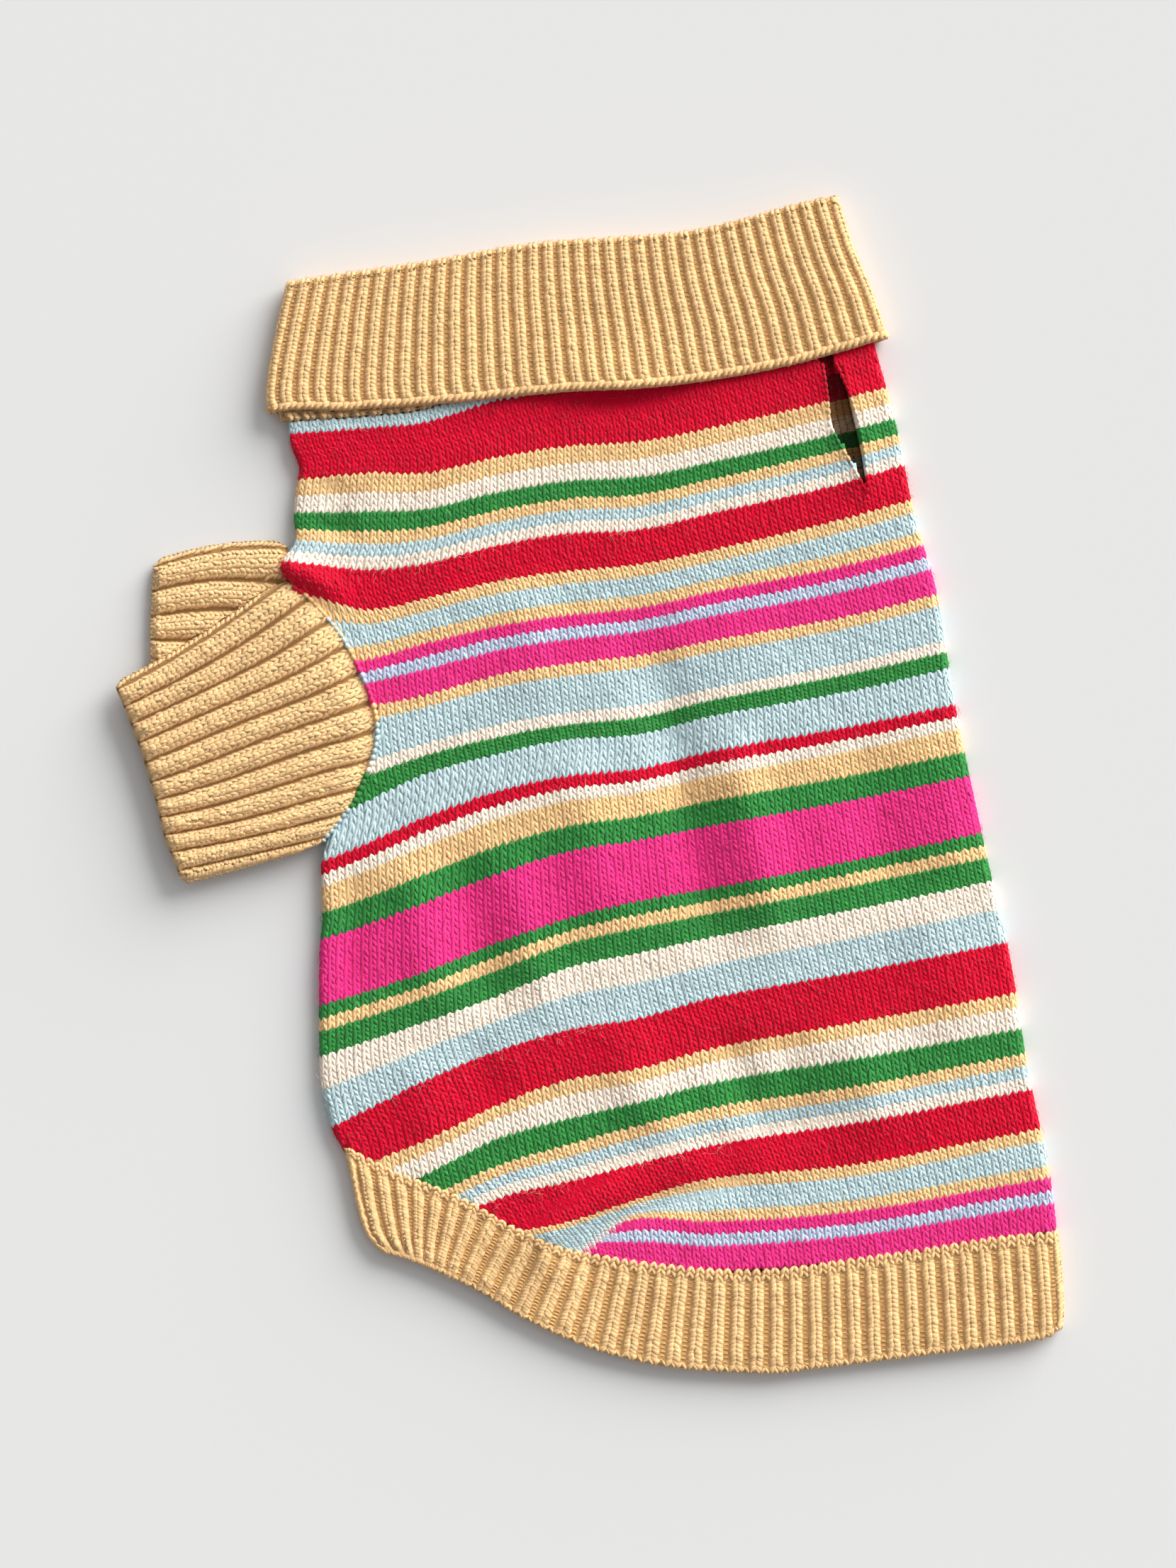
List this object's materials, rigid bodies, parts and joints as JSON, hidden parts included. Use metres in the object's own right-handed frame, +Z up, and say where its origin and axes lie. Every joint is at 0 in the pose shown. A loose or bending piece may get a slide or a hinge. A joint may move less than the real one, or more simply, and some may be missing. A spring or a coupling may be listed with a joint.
{
  "type": "dog sweater",
  "caption": "Knitted dog sweater laid flat on its side: striped body tube, folded ribbed turtleneck, ribbed leg sleeves, slanted ribbed hem and a leash slit.",
  "frame": {"origin": "middle of the laid garment's plan, on the surface it rests on", "axes": "+X toward the spine fold, +Y from the hem toward the collar, +Z up from the surface"},
  "size_m": [0.3332, 0.4164, 0.0092],
  "materials": {
    "striped_jersey": "brushed wool jersey, matte, in red, pink, green, tan, cream and blue stripes",
    "tan_rib": "brushed wool rib knit, matte"
  },
  "bodies": {
    "root": {"body": "striped_jersey", "collar": "tan_rib", "hem_band": "tan_rib", "sleeve_near": "tan_rib", "sleeve_far": "tan_rib"}
  },
  "joints": []
}
